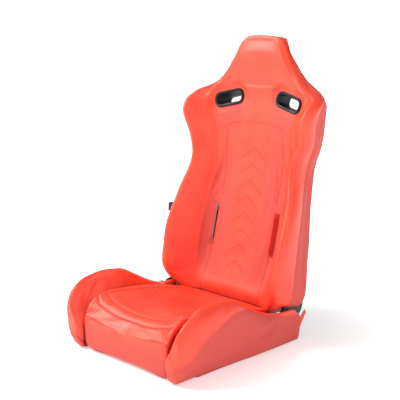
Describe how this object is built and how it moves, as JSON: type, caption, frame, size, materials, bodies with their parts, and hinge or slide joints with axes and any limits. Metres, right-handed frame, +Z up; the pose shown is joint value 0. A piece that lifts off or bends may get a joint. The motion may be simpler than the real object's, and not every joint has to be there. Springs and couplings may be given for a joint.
{
  "type": "reclining racing seat",
  "caption": "Reclining bucket-style racing seat with bolstered cushions, harness slots, tube frame and lever-released backrest.",
  "frame": {"origin": "centre of the whole seat's footprint box, on the mounting plane under the base rails", "axes": "+Z up, -Y towards the front of the cushion, +X to the left hand of a person sitting in the seat"},
  "size_m": [0.5669, 0.7095, 0.9669],
  "materials": {
    "red_leather": "fine grained, semi-gloss red synthetic leather over foam",
    "panel_plastic": "fine textured moulded black plastic",
    "black_plastic": "satin moulded black plastic",
    "webbing": "woven black tape",
    "zinc_fasteners": "bright zinc plate",
    "spring_steel": "oiled spring steel",
    "bright_steel": "machined steel, lightly oiled",
    "painted_steel": "semi-gloss black powder coat"
  },
  "bodies": {
    "base": {"seat_cushion": "red_leather", "seat_bolster_left": "red_leather", "seat_bolster_right": "red_leather", "base_rail_left": "painted_steel", "base_rail_right": "painted_steel", "base_cross_tube_front": "painted_steel", "base_cross_tube_rear": "painted_steel", "mount_nut_front_left": "zinc_fasteners", "mount_nut_front_right": "zinc_fasteners", "mount_nut_rear_left": "zinc_fasteners", "mount_nut_rear_right": "zinc_fasteners", "seat_spring_1": "spring_steel", "seat_spring_2": "spring_steel", "seat_spring_3": "spring_steel", "seat_spring_4": "spring_steel", "recliner_lower_plate_left": "painted_steel", "recliner_lower_plate_right": "painted_steel", "recliner_lower_disc_left": "bright_steel", "recliner_lower_disc_right": "bright_steel", "recliner_spring_left": "spring_steel", "recliner_spring_right": "spring_steel", "recliner_cover_left": "black_plastic", "recliner_cover_right": "black_plastic", "cover_flap_left": "red_leather", "cover_flap_right": "red_leather", "base_bolt_front_left": "zinc_fasteners", "base_bolt_front_right": "zinc_fasteners", "base_bolt_rear_left": "zinc_fasteners", "base_bolt_rear_right": "zinc_fasteners"},
    "backrest": {"backrest_cushion": "red_leather", "back_frame_hoop": "painted_steel", "back_frame_lower_tube": "painted_steel", "head_frame_hoop": "painted_steel", "back_panel": "panel_plastic", "side_tab": "webbing", "back_spring_left": "spring_steel", "back_spring_middle": "spring_steel", "back_spring_right": "spring_steel", "recliner_upper_plate_left": "painted_steel", "recliner_upper_plate_right": "painted_steel", "recliner_upper_disc_left": "bright_steel", "recliner_upper_disc_right": "bright_steel", "harness_bezel_left": "black_plastic", "harness_bezel_right": "black_plastic", "harness_rear_ring_left": "black_plastic", "harness_rear_ring_right": "black_plastic", "recliner_bolt_low_left": "zinc_fasteners", "recliner_bolt_low_right": "zinc_fasteners", "recliner_bolt_high_left": "zinc_fasteners", "recliner_bolt_high_right": "zinc_fasteners", "panel_screw_lower_left": "zinc_fasteners", "panel_screw_lower_right": "zinc_fasteners", "panel_screw_upper_left": "zinc_fasteners", "panel_screw_upper_right": "zinc_fasteners"},
    "recline_lever": {"recline_cross_shaft": "bright_steel", "recline_lever_arm": "painted_steel", "recline_lever_grip": "black_plastic"}
  },
  "joints": [
    {"name": "back_recline", "type": "hinge", "parent": "base", "child": "backrest", "pos_m": [0, 0.1952, 0.118], "axis": [1, 0, 0], "range_deg": [-62, 5]},
    {"name": "recline_lever_pull", "type": "hinge", "parent": "base", "child": "recline_lever", "pos_m": [0, 0.1952, 0.118], "axis": [-1, 0, 0], "range_deg": [0, 32], "stiffness_Nm_per_rad": 3, "springref_deg": -14.32}
  ]
}
